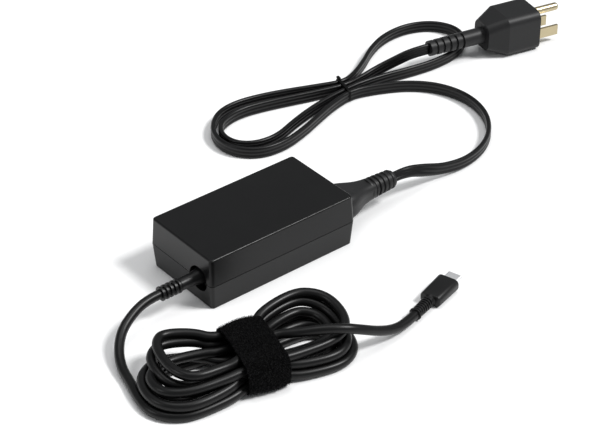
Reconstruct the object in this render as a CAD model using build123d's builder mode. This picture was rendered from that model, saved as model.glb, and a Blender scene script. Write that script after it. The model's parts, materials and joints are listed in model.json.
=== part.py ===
from build123d import *
import os
from math import cos, radians, sin, tan

# A 65 W laptop power adapter with a fixed low-voltage cord ending in a USB-C plug, and a
# detachable mains lead ending in a three-pin wall plug.  Millimetres.  The origin is at the
# middle of the case's underside.  +X runs along the case to the mains inlet, the low-voltage
# cord leaves the -X end, and +Z is up.

# ---------------------------------------------------------------- case
case_length = 92.0
case_width = 50.6
case_height = 29.3
parting_height = 14.0
corner_radius = 2.0
top_inset = 0.7
bottom_inset = 1.0
wall = 2.0
top_edge_radius = 1.0
bottom_edge_radius = 0.6
groove = 0.35
lip_height = 1.5
lip_thickness = 0.9
fit_gap = 0.1
label_length = 58.0
label_width = 34.0
label_thickness = 0.25
label_recess = 0.35

# ---------------------------------------------------------------- low-voltage outlet, on the -X end
outlet_y = -12.9
outlet_z = parting_height
scoop_y = outlet_y - 1.5
scoop_radius = 7.0
scoop_draft = 14.0
scoop_depth = 4.0
scoop_wall = 1.5
relief_radius = 2.8
relief_collar_radius = 3.8
relief_collar_length = 1.6
relief_flange_radius = 4.9
relief_flange_length = 1.4
relief_smooth_end = -10.8 - case_length / 2
relief_end = -22.0 - case_length / 2
relief_ribs = 5
relief_rib_radius = 3.8
relief_rib_width = 1.2
relief_core_radius = 2.8
dc_cord_diameter = 5.0
wire_radius = 0.8
wire_spread = 1.6
wire_reach = 4.2
wire_bend = 3.0

# ---------------------------------------------------------------- mains inlet, in the +X end
inlet_y = -7.5
inlet_z = parting_height
inlet_width = 22.0
inlet_height = 18.0
inlet_corner = 2.0
inlet_front = case_length / 2 - 0.8
inlet_depth = 14.7
inlet_flange_width = 25.0
inlet_flange_height = 20.0
inlet_flange_front = case_length / 2 - 2.9
inlet_flange_thickness = 1.6
recess_depth = 12.2
pin_radius = 1.2
pin_length = 9.5
pin_tail = 4.2
inlet_gap = 0.4
line_pin_spacing = 9.5
lobe_radius = 4.0
line_lobe_drop = 1.9
earth_lobe_rise = 2.6

# ---------------------------------------------------------------- mains connector of the lead
nose_clearance = 0.3
connector_back = case_length / 2 + 0.5
connector_width = 21.6
connector_height = 15.0
connector_ribs_start = connector_back + 25.5
connector_end = connector_back + 40.0
connector_corner = 0.36
connector_taper = [
    (connector_back + 5.0, 21.4, 14.8),
    (connector_back + 9.5, 19.4, 13.4),
    (connector_back + 14.0, 15.6, 12.0),
    (connector_back + 18.5, 12.6, 10.9),
    (connector_back + 22.0, 11.4, 10.2),
    (connector_ribs_start, 10.6, 9.6),
]
connector_ribs = 5
connector_last_rib = 1.2
connector_rib_width = 1.5
connector_rib_radius = 4.6
connector_core_radius = 3.2
sleeve_bore = pin_radius + 0.08
sleeve_radius = sleeve_bore + 0.47
sleeve_length = 9.5
sleeve_recess = 1.0
mains_cord_width = 7.0
mains_cord_thickness = 2.7
mains_cord_corner = 0.45 * mains_cord_thickness

# ---------------------------------------------------------------- circuit board and what stands on it
board_left = scoop_depth + scoop_wall + 0.5 - case_length / 2
board_right = case_length / 2 - 18.4
board_width = case_width - 7.6
board_thickness = 1.6
board_underside = 5.5
board_top = board_underside + board_thickness
post_radius = 2.4
peg_radius = 1.0
peg_gap = 0.15
post_inset = 4.0
spreader_thickness = 0.8
insulator_thickness = 0.25
layer_gap = 0.3
lead_gap = 0.5
skirt_depth = 9.0
fuse_place = (board_right - 4.8, 1.4)
fuse_radius = 4.2
fuse_height = 7.8
film_capacitor_place = (board_right - 4.6, -12.0)
film_capacitor_size = (7.2, 15.0, 12.6)
bridge_place = (board_right - 10.8, 11.0)
bridge_size = (3.6, 14.6, 12.0)
bridge_lift = 1.2
switch_place = (board_right - 22.7, -10.2)
switch_size = (4.2, 10.2, 15.2)
switch_lift = 1.0
optocoupler_place = (board_left + 15.4, 12.4)
optocoupler_size = (6.4, 4.6, 3.4)
rectifier_place = (board_left + 15.4, 4.6)
rectifier_size = (5.2, 6.2, 1.1)
body_edge = 0.3
output_capacitor_places = [(board_left + 15.2, -17.0), (board_left + 15.2, -8.2)]
output_capacitor_radius = 4.0
output_capacitor_height = 12.0
can_edge = 0.6
thermistor_place = (board_right - 6.4, 13.4, board_top + 5.6)
thermistor_radius = 4.8
thermistor_thickness = 3.8
disc_place = (board_left + 7.4, -4.2, board_top + 5.0)
disc_radius = 4.2
disc_thickness = 3.2
disc_edge = 0.8
choke_middle = (board_right - 13.6, -12.0, board_top + 8.6)
choke_core_radii = (3.9, 6.9)
choke_core_width = 5.6
choke_winding_radii = (2.9, 8.0)
choke_winding_width = 7.8
choke_winding_gap = 5.0
bulk_radius = 8.0
bulk_y = 13.0
bulk_ends = (board_left + 23.0, board_right - 14.0)
bulk_crimp_place = 3.8
bulk_crimp_width = 0.8
bulk_crimp_depth = 0.6
sink_left = board_right - 20.5
sink_thickness = 1.5
sink_y = -10.4
sink_width = 19.0
sink_height = 17.0
control_board_x = board_left + 4.6
control_board_thickness = 1.0
control_board_y = (-2.5, 20.0)
control_board_height = 13.5
chip_size = 5.0
chip_rise = 7.5
chip_thickness = 0.9

# ---------------------------------------------------------------- transformer
core_middle = (board_left + 30.8, -9.0)
core_length = 21.0
core_width = 23.6
core_bottom = board_top + 0.8
core_height = 17.0
core_plate = 3.4
core_leg = 3.4
centre_post_radius = 4.0
bobbin_tube_wall = 0.8
bobbin_flange = 0.9
bobbin_gap = 0.15
winding_radius = 7.6
flange_radius = 8.0
pad_thickness = 0.4
spreader_lift = 0.1

# ---------------------------------------------------------------- USB-C plug
usb_length = 18.0
usb_width = 12.3
usb_height = 6.8
usb_taper = 0.5
usb_corner = 3.0
usb_relief_length = 14.4
usb_ribs = 8
usb_rib_width = 0.85
usb_rib_radius = 3.1
usb_core_radius = 2.6
usb_shell_width = 8.3
usb_shell_height = 2.5
usb_shell_out = 6.6
usb_shell_in = 5.0
usb_shell_wall = 0.3
usb_shell_corner = 0.45 * usb_shell_height
usb_widest_share = 0.3
usb_front_edge = 0.8
usb_rib_taper = 0.05
usb_board_room = (8.0, 3.0, 7.0)
usb_board_size = (7.4, 0.8, 6.4)
usb_insert_gap = 0.05
usb_insert_setback = 0.4
slot_width = 6.7
slot_height = 0.86
slot_gap = 0.1
contact_rows = 12
contact_pitch = 0.5
contact_width = 0.25
contact_thickness = 0.15
contact_setback = 0.3
contact_clear = 1.3

# ---------------------------------------------------------------- wall plug
neck_length = 36.0
neck_rear_radius = 4.6
neck_front_radius = 5.0
plug_length = 33.0
plug_width = 25.0
plug_height = 25.0
plug_corner = 5.0
plug_rear_share = 0.66
plug_shoulder_share = 0.35
neck_slots = 5
neck_slot_start = 3.0
neck_slot_pitch = 4.4
neck_slot_width = 1.6
neck_slot_depth = 0.9
blade_spacing = 12.7
blade_width = 6.35
blade_thickness = 1.5
blade_out = 16.0
blade_in = 8.0
earth_pin_radius = 2.38
earth_pin_out = 19.0
earth_pin_offset = 11.9
earth_pin_root_radius = 3.0
earth_pin_tip_round = 1.6
plug_pin_rise = 5.0

# ---------------------------------------------------------------- cord routes, along their middles
# Each row is (along X, along Y, height); the first two are measured from the place named.
mains_floor = mains_cord_width / 2
usb_middle = usb_height / 2
plug_middle = plug_height / 2
# from the end of the low-voltage strain relief
dc_lead_steps = [
    (0.0, 0.0, outlet_z),
    (-8.0, 0.0, outlet_z),
    (-18.0, -2.4, 12.2),
    (-28.0, -6.9, 9.0),
    (-35.4, -14.7, 5.6),
    (-40.0, -23.9, 3.1),
    (-41.6, -33.5, 2.5),
]
# from the middle of the hank
dc_tail_steps = [
    (13.2, 3.4, 14.0),
    (22.3, -5.8, 16.8),
    (32.0, -13.6, 18.8),
    (41.6, -19.4, 18.4),
    (50.9, -21.6, 14.2),
    (60.5, -22.0, 8.9),
    (70.2, -21.6, 4.9),
    (79.5, -20.1, usb_middle),
    (87.1, -17.8, usb_middle),
]
# from the end of the mains connector
mains_lead_steps = [
    (0.0, 0.0, inlet_z),
    (10.0, 0.0, inlet_z),
    (22.5, -0.2, 9.8),
    (36.5, -1.3, 5.4),
    (52.5, -2.1, 3.6),
    (69.0, 1.9, mains_floor),
    (84.0, 11.9, mains_floor),
    (95.1, 27.5, mains_floor),
    (99.1, 46.5, mains_floor),
    (94.1, 65.0, mains_floor),
    (81.7, 78.5, mains_floor),
    (64.5, 87.1, mains_floor),
    (50.2, 91.6, mains_floor),
]
# from the middle of the tie
mains_loop_steps = [
    (3.6, 4.8, mains_floor),
    (14.0, 7.6, mains_floor),
    (26.6, 14.2, mains_floor),
    (40.6, 23.6, mains_floor),
    (56.6, 30.6, mains_floor),
    (75.0, 31.6, mains_floor),
    (90.4, 24.6, mains_floor),
    (97.4, 11.0, mains_floor),
    (93.0, -2.4, mains_floor),
    (79.6, -9.8, mains_floor),
    (62.0, -11.2, mains_floor),
    (44.0, -8.6, mains_floor),
    (27.0, -4.6, mains_floor),
    (12.0, -2.6, mains_floor),
    (1.6, -2.4, mains_floor),
]
mains_tail_steps = [
    (2.6, 1.2, mains_floor),
    (14.5, 2.2, mains_floor),
    (27.0, 3.0, 4.8),
    (38.5, -0.2, 8.4),
    (48.6, -4.4, plug_middle),
    (59.4, -6.8, plug_middle),
]

# ---------------------------------------------------------------- hank of the low-voltage cord
hank_x = relief_end + 7.5
hank_y = outlet_y - 62.6
hank_turn = -10.0
hank_height = 18.6
left_lobe = (-31.5, 6.0)
left_lobe_radii = (27.5, 23.8)
right_lobe = (29.2, 4.6)
right_lobe_radii = (26.6, 23.4)
lobe_edge_radius = 3.0
strap_width = 20.0
strap_thickness = 1.5
strap_middle = 3.4
bundle_width = 37.0
bundle_height = 13.2
bundle_corner = 5.0
bundle_overlap = 1.0
strap_gap = 0.05

# ---------------------------------------------------------------- coil of the mains lead
tie_middle = (connector_end + 49.5, inlet_y + 97.5)
coil_left = (tie_middle[0] - 66.5, tie_middle[1] + 1.0)
coil_radius = 26.5
tie_turn = -15.0
bundle_radius = 8.2
coil_height = 7.2
tie_bundle_width = 15.4
tie_width = 2.6
tie_thickness = 1.1

os.makedirs("parts", exist_ok=True)


def save(piece, name):
    """Labels a finished piece and writes it as its own STEP file."""
    piece.part.label = name
    export_step(piece.part, f"parts/{name}.step")


def end_plane(x, y, z):
    """A plane across the case's length, with its own X along +Y and its own Y up."""
    return Plane(origin=(x, y, z), x_dir=(0, 1, 0), z_dir=(1, 0, 0))


def tangent_radii(route):
    """The largest radius that each corner's two runs allow, for a route of straight runs."""
    points = [Vector(*point) for point in route]
    radii = []
    for before, corner, after in zip(points, points[1:], points[2:]):
        arriving = corner - before
        leaving = after - corner
        half_turn = radians(arriving.get_angle(leaving)) / 2
        radii.append(0.45 * min(arriving.length, leaving.length) / tan(half_turn))
    return radii


def report_cord(name, cord, path_length, section_area, radii):
    """Prints a cord's length, its tightest arc and how its volume compares with its section."""
    share = cord.part.volume / (section_area * path_length)
    print(f"{name}: {path_length:.1f} mm, radii {[round(r) for r in radii]}, volume share {share:.4f}")


# ================================================================ case
# Two drafted shells meet at the parting line with a lap joint: the lower shell's inner lip
# stands inside a rebate of the upper one.  A small step in both edges leaves a fine groove.
inner_length = case_length - 2 * wall
inner_width = case_width - 2 * wall
stepped_length = case_length - 2 * groove
stepped_width = case_width - 2 * groove
inner_corner = corner_radius - wall / 2
lip_length = inner_length + 2 * lip_thickness
lip_width = inner_width + 2 * lip_thickness
boss_radius = scoop_radius + scoop_wall
boss_front = -case_length / 2 + wall / 2
boss_back = -case_length / 2 + scoop_depth + scoop_wall
bore_radius = relief_radius + fit_gap
post_places = [
    (x, y)
    for x in (board_left + post_inset, board_right - post_inset)
    for y in (-board_width / 2 + post_inset, board_width / 2 - post_inset)
]

with BuildPart() as top_cover:
    with BuildSketch(Plane.XY.offset(parting_height)):
        RectangleRounded(case_length, case_width, corner_radius)
    with BuildSketch(Plane.XY.offset(case_height)):
        RectangleRounded(case_length - 2 * top_inset, case_width - 2 * top_inset, corner_radius)
    loft()
    fillet(top_cover.faces().sort_by(Axis.Z)[-1].edges(), top_edge_radius)
    with BuildSketch(Plane.XY.offset(parting_height)):
        Rectangle(case_length + wall, case_width + wall)
        RectangleRounded(stepped_length, stepped_width, corner_radius, mode=Mode.SUBTRACT)
    extrude(amount=groove / 2, mode=Mode.SUBTRACT)
    with BuildSketch(Plane.XY.offset(parting_height)):
        RectangleRounded(inner_length, inner_width, inner_corner)
    with BuildSketch(Plane.XY.offset(case_height - wall)):
        RectangleRounded(inner_length - 2 * top_inset, inner_width - 2 * top_inset, inner_corner)
    loft(mode=Mode.SUBTRACT)
    with BuildSketch(Plane.XY.offset(parting_height)):
        RectangleRounded(lip_length + 2 * fit_gap, lip_width + 2 * fit_gap, inner_corner)
    extrude(amount=lip_height + fit_gap, mode=Mode.SUBTRACT)
    with BuildSketch(end_plane(boss_front, scoop_y, outlet_z)):
        Circle(boss_radius)
        with Locations((0, -boss_radius)):
            Rectangle(2 * boss_radius, 2 * boss_radius, mode=Mode.SUBTRACT)
    extrude(amount=boss_back - boss_front)
    with BuildSketch(end_plane(-case_length / 2, scoop_y, outlet_z)):
        Circle(scoop_radius)
    extrude(amount=scoop_depth, taper=scoop_draft, mode=Mode.SUBTRACT)
    with BuildSketch(end_plane(-case_length / 2, outlet_y, outlet_z)):
        Circle(bore_radius)
    extrude(amount=scoop_depth + scoop_wall, mode=Mode.SUBTRACT)
    with BuildSketch(end_plane(case_length / 2 - 2 * wall, inlet_y, inlet_z)):
        RectangleRounded(inlet_width + inlet_gap, inlet_height + inlet_gap, inlet_corner)
    extrude(amount=2 * wall, mode=Mode.SUBTRACT)
save(top_cover, "top_cover")

with BuildPart() as bottom_cover:
    with BuildSketch(Plane.XY):
        RectangleRounded(case_length - 2 * bottom_inset, case_width - 2 * bottom_inset, corner_radius)
    with BuildSketch(Plane.XY.offset(parting_height)):
        RectangleRounded(case_length, case_width, corner_radius)
    loft()
    fillet(bottom_cover.faces().sort_by(Axis.Z)[0].edges(), bottom_edge_radius)
    with BuildSketch(Plane.XY.offset(parting_height)):
        Rectangle(case_length + wall, case_width + wall)
        RectangleRounded(stepped_length, stepped_width, corner_radius, mode=Mode.SUBTRACT)
    extrude(amount=-groove / 2, mode=Mode.SUBTRACT)
    with BuildSketch(Plane.XY.offset(parting_height)):
        RectangleRounded(lip_length, lip_width, inner_corner)
    extrude(amount=lip_height)
    with BuildSketch(Plane.XY.offset(wall)):
        RectangleRounded(inner_length - 2 * bottom_inset, inner_width - 2 * bottom_inset, inner_corner)
    with BuildSketch(Plane.XY.offset(parting_height)):
        RectangleRounded(inner_length, inner_width, inner_corner)
    loft(mode=Mode.SUBTRACT)
    with BuildSketch(Plane.XY.offset(parting_height)):
        RectangleRounded(inner_length, inner_width, inner_corner)
    extrude(amount=lip_height, mode=Mode.SUBTRACT)
    # the lip stops at the outlet's boss and at the inlet
    with BuildSketch(Plane.XY.offset(parting_height)):
        with Locations((-case_length / 2, scoop_y)):
            Rectangle(4 * wall, 2 * boss_radius + 4 * fit_gap)
    extrude(amount=lip_height, mode=Mode.SUBTRACT)
    with BuildSketch(end_plane(boss_front, scoop_y, outlet_z)):
        Circle(boss_radius)
        with Locations((0, boss_radius)):
            Rectangle(2 * boss_radius, 2 * boss_radius, mode=Mode.SUBTRACT)
    extrude(amount=boss_back - boss_front)
    with BuildSketch(end_plane(-case_length / 2, scoop_y, outlet_z)):
        Circle(scoop_radius)
    extrude(amount=scoop_depth, taper=scoop_draft, mode=Mode.SUBTRACT)
    with BuildSketch(end_plane(-case_length / 2, outlet_y, outlet_z)):
        Circle(bore_radius)
    extrude(amount=scoop_depth + scoop_wall, mode=Mode.SUBTRACT)
    with BuildSketch(end_plane(case_length / 2 - 2 * wall, inlet_y, inlet_z)):
        RectangleRounded(inlet_width + inlet_gap, inlet_height + inlet_gap, inlet_corner)
    extrude(amount=2 * wall, mode=Mode.SUBTRACT)
    # posts under the circuit board, each with a locating peg
    with BuildSketch(Plane.XY.offset(wall - fit_gap)):
        with Locations(*post_places):
            Circle(post_radius)
    extrude(amount=board_underside - wall + fit_gap)
    with BuildSketch(Plane.XY.offset(board_underside)):
        with Locations(*post_places):
            Circle(peg_radius)
    extrude(amount=board_thickness - peg_gap)
    with BuildSketch(Plane.XY):
        RectangleRounded(label_length, label_width, corner_radius)
    extrude(amount=label_recess, mode=Mode.SUBTRACT)
save(bottom_cover, "bottom_cover")

with BuildPart() as rating_label:
    with BuildSketch(Plane.XY.offset(label_recess - label_thickness)):
        RectangleRounded(label_length - 2 * layer_gap, label_width - 2 * layer_gap, corner_radius)
    extrude(amount=label_thickness)
save(rating_label, "rating_label")

# ================================================================ mains inlet
# The insulating body has a three-lobed recess; its flange bears on the inside of the end wall.
lobe_places = [
    (-line_pin_spacing / 2, -line_lobe_drop),
    (line_pin_spacing / 2, -line_lobe_drop),
    (0, earth_lobe_rise),
]
inlet_back = inlet_front - inlet_depth
recess_floor = inlet_front - recess_depth

with BuildPart() as mains_inlet_body:
    with BuildSketch(end_plane(inlet_back, inlet_y, inlet_z)):
        RectangleRounded(inlet_width, inlet_height, inlet_corner)
    extrude(amount=inlet_depth)
    with BuildSketch(end_plane(inlet_flange_front - inlet_flange_thickness, inlet_y, inlet_z)):
        RectangleRounded(inlet_flange_width, inlet_flange_height, inlet_corner)
    extrude(amount=inlet_flange_thickness)
    with BuildSketch(end_plane(recess_floor, inlet_y, inlet_z)):
        with Locations(*lobe_places):
            Circle(lobe_radius)
        make_hull()
    extrude(amount=recess_depth, mode=Mode.SUBTRACT)
    with BuildSketch(end_plane(inlet_back, inlet_y, inlet_z)):
        with Locations(*lobe_places):
            Circle(pin_radius + fit_gap / 2)
    extrude(amount=inlet_depth - recess_depth, mode=Mode.SUBTRACT)
save(mains_inlet_body, "mains_inlet_body")


def inlet_pins(places):
    """Round inlet pins, from their tails behind the body to their rounded tips."""
    with BuildPart() as pins:
        with BuildSketch(end_plane(recess_floor - pin_tail, inlet_y, inlet_z)):
            with Locations(*places):
                Circle(pin_radius)
        extrude(amount=pin_tail + pin_length)
        chamfer(pins.faces().filter_by(Axis.X).group_by(Axis.X)[-1].edges(), pin_radius / 2)
    return pins


save(inlet_pins(lobe_places[:2]), "mains_inlet_line_pins")
save(inlet_pins(lobe_places[2:]), "mains_inlet_earth_pin")

# ================================================================ circuit board
with BuildPart() as main_circuit_board:
    with BuildSketch(Plane.XY.offset(board_underside)):
        with Locations(((board_left + board_right) / 2, 0)):
            Rectangle(board_right - board_left, board_width)
        with Locations(*post_places):
            Circle(peg_radius + peg_gap, mode=Mode.SUBTRACT)
    extrude(amount=board_thickness)
save(main_circuit_board, "main_circuit_board")


def board_box(place, size, lift=0.0):
    """A moulded component body standing on the board, with softened edges."""
    with BuildPart() as body:
        with BuildSketch(Plane.XY.offset(board_top + lift)):
            with Locations(place):
                Rectangle(size[0], size[1])
        extrude(amount=size[2])
        fillet(body.edges().filter_by(Axis.Z), body_edge)
        fillet(body.faces().sort_by(Axis.Z)[-1].edges(), body_edge)
    return body


def board_can(places, radius, height):
    """Upright cylindrical components standing on the board."""
    with BuildPart() as cans:
        with BuildSketch(Plane.XY.offset(board_top)):
            with Locations(*places):
                Circle(radius)
        extrude(amount=height)
        fillet(cans.faces().filter_by(Axis.Z).group_by(Axis.Z)[-1].edges(), can_edge)
    return cans


save(board_can([fuse_place], fuse_radius, fuse_height), "mains_fuse")
save(board_box(film_capacitor_place, film_capacitor_size), "x_capacitor")
save(board_box(bridge_place, bridge_size, bridge_lift), "bridge_rectifier")
save(board_box(switch_place, switch_size, switch_lift), "switching_transistor")
save(board_box(optocoupler_place, optocoupler_size), "feedback_optocoupler")
save(board_box(rectifier_place, rectifier_size), "rectifier_transistor")
output_capacitors = board_can(
    output_capacitor_places, output_capacitor_radius, output_capacitor_height
)
save(output_capacitors, "output_capacitors")


def disc_on_edge(place, radius, thickness):
    """A dipped disc component that stands on its edge."""
    with BuildPart() as disc:
        with BuildSketch(end_plane(*place)):
            Circle(radius)
        extrude(amount=thickness)
        fillet(disc.edges(), disc_edge)
    return disc


save(disc_on_edge(thermistor_place, thermistor_radius, thermistor_thickness), "inrush_thermistor")
save(disc_on_edge(disc_place, disc_radius, disc_thickness), "y_capacitor")

# common-mode choke: a ring core on edge with two windings
choke_plane = end_plane(*choke_middle)
with BuildPart() as choke_core:
    with BuildSketch(choke_plane):
        Circle(choke_core_radii[1])
        Circle(choke_core_radii[0], mode=Mode.SUBTRACT)
    extrude(amount=choke_core_width / 2, both=True)
save(choke_core, "choke_core")

with BuildPart() as choke_windings:
    with BuildSketch(choke_plane):
        Circle(choke_winding_radii[1])
        Circle(choke_winding_radii[0], mode=Mode.SUBTRACT)
        Rectangle(2 * choke_winding_radii[1], choke_winding_gap, mode=Mode.SUBTRACT)
    extrude(amount=choke_winding_width / 2, both=True)
    with BuildSketch(choke_plane):
        Circle(choke_core_radii[1] + fit_gap)
        Circle(choke_core_radii[0] - fit_gap, mode=Mode.SUBTRACT)
    extrude(amount=choke_core_width / 2 + fit_gap, both=True, mode=Mode.SUBTRACT)
save(choke_windings, "choke_windings")

# bulk capacitor, lying along the case, with the crimp near its sealed end
bulk_z = board_top + bulk_radius + layer_gap
with BuildPart() as bulk_capacitor:
    with BuildSketch(end_plane(bulk_ends[0], bulk_y, bulk_z)):
        Circle(bulk_radius)
    extrude(amount=bulk_ends[1] - bulk_ends[0])
    fillet(bulk_capacitor.edges().filter_by(GeomType.CIRCLE), can_edge)
    with BuildSketch(end_plane(bulk_ends[1] - bulk_crimp_place, bulk_y, bulk_z)):
        Circle(bulk_radius + wall)
        Circle(bulk_radius - bulk_crimp_depth, mode=Mode.SUBTRACT)
    extrude(amount=bulk_crimp_width, mode=Mode.SUBTRACT)
save(bulk_capacitor, "bulk_capacitor")

# aluminium heat sink of the switching transistor
with BuildPart() as primary_heat_sink:
    with BuildSketch(Plane.XY.offset(board_top)):
        with Locations((sink_left + sink_thickness / 2, sink_y)):
            Rectangle(sink_thickness, sink_width)
    extrude(amount=sink_height)
save(primary_heat_sink, "primary_heat_sink")

# ================================================================ transformer
window_bottom = core_bottom + core_plate
window_height = core_height - 2 * core_plate
half_core = core_height / 2


def core_half(low):
    """One E-shaped ferrite half: a plate, two outer legs and half of the centre post."""
    plate_z = core_bottom if low else core_bottom + core_height - core_plate
    legs_z = core_bottom if low else core_bottom + half_core
    with BuildPart() as half:
        with BuildSketch(Plane.XY.offset(plate_z)):
            with Locations(core_middle):
                Rectangle(core_length, core_width)
        extrude(amount=core_plate)
        with BuildSketch(Plane.XY.offset(legs_z)):
            with Locations(core_middle):
                with GridLocations(0, core_width - core_leg, 1, 2):
                    Rectangle(core_length, core_leg)
                Circle(centre_post_radius)
        extrude(amount=half_core)
    return half


save(core_half(True), "transformer_core_lower")
save(core_half(False), "transformer_core_upper")

bobbin_inner = centre_post_radius + bobbin_gap
bobbin_outer = bobbin_inner + bobbin_tube_wall
bobbin_low = window_bottom + bobbin_gap
bobbin_high = window_bottom + window_height - bobbin_gap
with BuildPart() as transformer_bobbin:
    with BuildSketch(Plane.XY.offset(bobbin_low)):
        with Locations(core_middle):
            Circle(flange_radius)
    extrude(amount=bobbin_high - bobbin_low)
    with BuildSketch(Plane.XY.offset(bobbin_low + bobbin_flange)):
        with Locations(core_middle):
            Circle(flange_radius + wall)
            Circle(bobbin_outer, mode=Mode.SUBTRACT)
    extrude(amount=bobbin_high - bobbin_low - 2 * bobbin_flange, mode=Mode.SUBTRACT)
    with BuildSketch(Plane.XY.offset(bobbin_low)):
        with Locations(core_middle):
            Circle(bobbin_inner)
    extrude(amount=bobbin_high - bobbin_low, mode=Mode.SUBTRACT)
save(transformer_bobbin, "transformer_bobbin")

with BuildPart() as transformer_winding:
    with BuildSketch(Plane.XY.offset(bobbin_low + bobbin_flange + bobbin_gap)):
        with Locations(core_middle):
            Circle(winding_radius)
            Circle(bobbin_outer + bobbin_gap, mode=Mode.SUBTRACT)
    extrude(amount=bobbin_high - bobbin_low - 2 * (bobbin_flange + bobbin_gap))
save(transformer_winding, "transformer_winding")

# ================================================================ output control board
control_middle_y = sum(control_board_y) / 2
with BuildPart() as control_board:
    with BuildSketch(Plane.XY.offset(board_top)):
        with Locations((control_board_x, control_middle_y)):
            Rectangle(control_board_thickness, control_board_y[1] - control_board_y[0])
    extrude(amount=control_board_height)
save(control_board, "control_board")

chip_back = control_board_x + control_board_thickness / 2
with BuildPart() as power_delivery_chip:
    with BuildSketch(end_plane(chip_back, control_middle_y, board_top + chip_rise)):
        Rectangle(chip_size, chip_size)
    extrude(amount=chip_thickness)
save(power_delivery_chip, "power_delivery_chip")

# ================================================================ insulation and heat spreading
spreader_length = board_right - board_left - 2
spreader_middle = (board_left + board_right) / 2
lower_spreader_z = wall + layer_gap
lower_insulator_z = lower_spreader_z + spreader_thickness + layer_gap
upper_insulator_z = core_bottom + core_height + pad_thickness
upper_spreader_z = upper_insulator_z + insulator_thickness + spreader_lift

with BuildPart() as lower_heat_spreader:
    with BuildSketch(Plane.XY.offset(lower_spreader_z)):
        with Locations((spreader_middle, 0)):
            Rectangle(spreader_length, board_width - 2)
        with Locations(*post_places):
            Circle(post_radius + lead_gap, mode=Mode.SUBTRACT)
    extrude(amount=spreader_thickness)
save(lower_heat_spreader, "lower_heat_spreader")

with BuildPart() as lower_insulator:
    with BuildSketch(Plane.XY.offset(lower_insulator_z)):
        with Locations((spreader_middle, 0)):
            Rectangle(spreader_length + 1, board_width - 1)
        with Locations(*post_places):
            Circle(post_radius + layer_gap, mode=Mode.SUBTRACT)
    extrude(amount=insulator_thickness)
save(lower_insulator, "lower_insulator")

with BuildPart() as upper_insulator:
    with BuildSketch(Plane.XY.offset(upper_insulator_z)):
        with Locations((spreader_middle, 0)):
            Rectangle(spreader_length, board_width - 1)
    extrude(amount=insulator_thickness)
save(upper_insulator, "upper_insulator")

# the upper spreader is a folded plate whose skirts stand beside the components
with BuildPart() as upper_heat_spreader:
    with BuildSketch(Plane.XY.offset(upper_spreader_z)):
        with Locations((spreader_middle, 0)):
            Rectangle(spreader_length, board_width + 1)
    extrude(amount=spreader_thickness)
    with BuildSketch(Plane.XY.offset(upper_spreader_z)):
        with Locations((spreader_middle, 0)):
            with GridLocations(0, board_width + 1 - spreader_thickness, 1, 2):
                Rectangle(spreader_length, spreader_thickness)
    extrude(amount=-skirt_depth)
save(upper_heat_spreader, "upper_heat_spreader")

with BuildPart() as thermal_pad:
    with BuildSketch(Plane.XY.offset(core_bottom + core_height)):
        with Locations(core_middle):
            Rectangle(core_length - 2, core_width - 2)
    extrude(amount=upper_insulator_z - core_bottom - core_height)
save(thermal_pad, "thermal_pad")

# ================================================================ low-voltage strain relief
# Moulded on the cord: a flange behind the boss, a collar in the scoop, a smooth barrel, ribs.
collar_front = -case_length / 2 + scoop_depth
flange_front = boss_back + fit_gap
rib_pitch = (relief_smooth_end - relief_end - relief_rib_width) / (relief_ribs - 1)

with BuildPart() as dc_strain_relief:
    with BuildSketch(end_plane(relief_end, outlet_y, outlet_z)):
        Circle(relief_core_radius)
    extrude(amount=relief_smooth_end - relief_end)
    with BuildSketch(end_plane(relief_smooth_end, outlet_y, outlet_z)):
        Circle(relief_radius)
    extrude(amount=flange_front - relief_smooth_end)
    with BuildSketch(end_plane(collar_front - fit_gap - relief_collar_length, outlet_y, outlet_z)):
        Circle(relief_collar_radius)
    extrude(amount=relief_collar_length)
    with BuildSketch(end_plane(flange_front, outlet_y, outlet_z)):
        Circle(relief_flange_radius)
    extrude(amount=relief_flange_length)
    for rib in range(relief_ribs):
        with BuildSketch(end_plane(relief_end + rib * rib_pitch, outlet_y, outlet_z)):
            Circle(relief_rib_radius)
        extrude(amount=relief_rib_width)
save(dc_strain_relief, "dc_strain_relief")

# two supply wires drop from the relief to the board
wire_start = flange_front + relief_flange_length
with BuildPart() as dc_output_wires:
    for side in (-1, 1):
        with BuildLine() as wire_path:
            FilletPolyline(
                (wire_start, outlet_y + side * wire_spread, outlet_z),
                (wire_start + wire_reach, outlet_y + side * wire_spread, outlet_z),
                (wire_start + wire_reach, outlet_y + side * wire_spread, board_top),
                radius=wire_bend,
            )
        with BuildSketch(Plane(origin=wire_path.line @ 0, z_dir=wire_path.line % 0)):
            Circle(wire_radius)
        sweep(path=wire_path.line)
save(dc_output_wires, "dc_output_wires")


# ================================================================ cords
def placed(steps, x, y):
    """A cord's route, from steps measured from the place given."""
    return [(x + along, y + across, height) for along, across, height in steps]


def round_cord(name, route):
    """A round cord swept along straight runs joined by tangent arcs."""
    radii = tangent_radii(route)
    with BuildPart() as cord:
        with BuildLine() as path:
            FilletPolyline(*route, radius=radii)
        with BuildSketch(Plane(origin=path.line @ 0, z_dir=path.line % 0)) as section:
            Circle(dc_cord_diameter / 2)
        sweep(path=path.line)
    report_cord(name, cord, path.wires()[0].length, section.sketch.area, radii)
    return cord


def flat_cord(name, route):
    """A flat three-core cord that stands on its edge all along its route."""
    radii = tangent_radii(route)
    with BuildPart() as cord:
        with BuildLine() as path:
            FilletPolyline(*route, radius=radii)
        ahead = path.line % 0
        across = Vector(0, 0, 1).cross(ahead)
        with BuildSketch(Plane(origin=path.line @ 0, x_dir=across, z_dir=ahead)) as section:
            RectangleRounded(mains_cord_thickness, mains_cord_width, mains_cord_corner)
        sweep(path=path.line)
    report_cord(name, cord, path.wires()[0].length, section.sketch.area, radii)
    return cord


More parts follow.
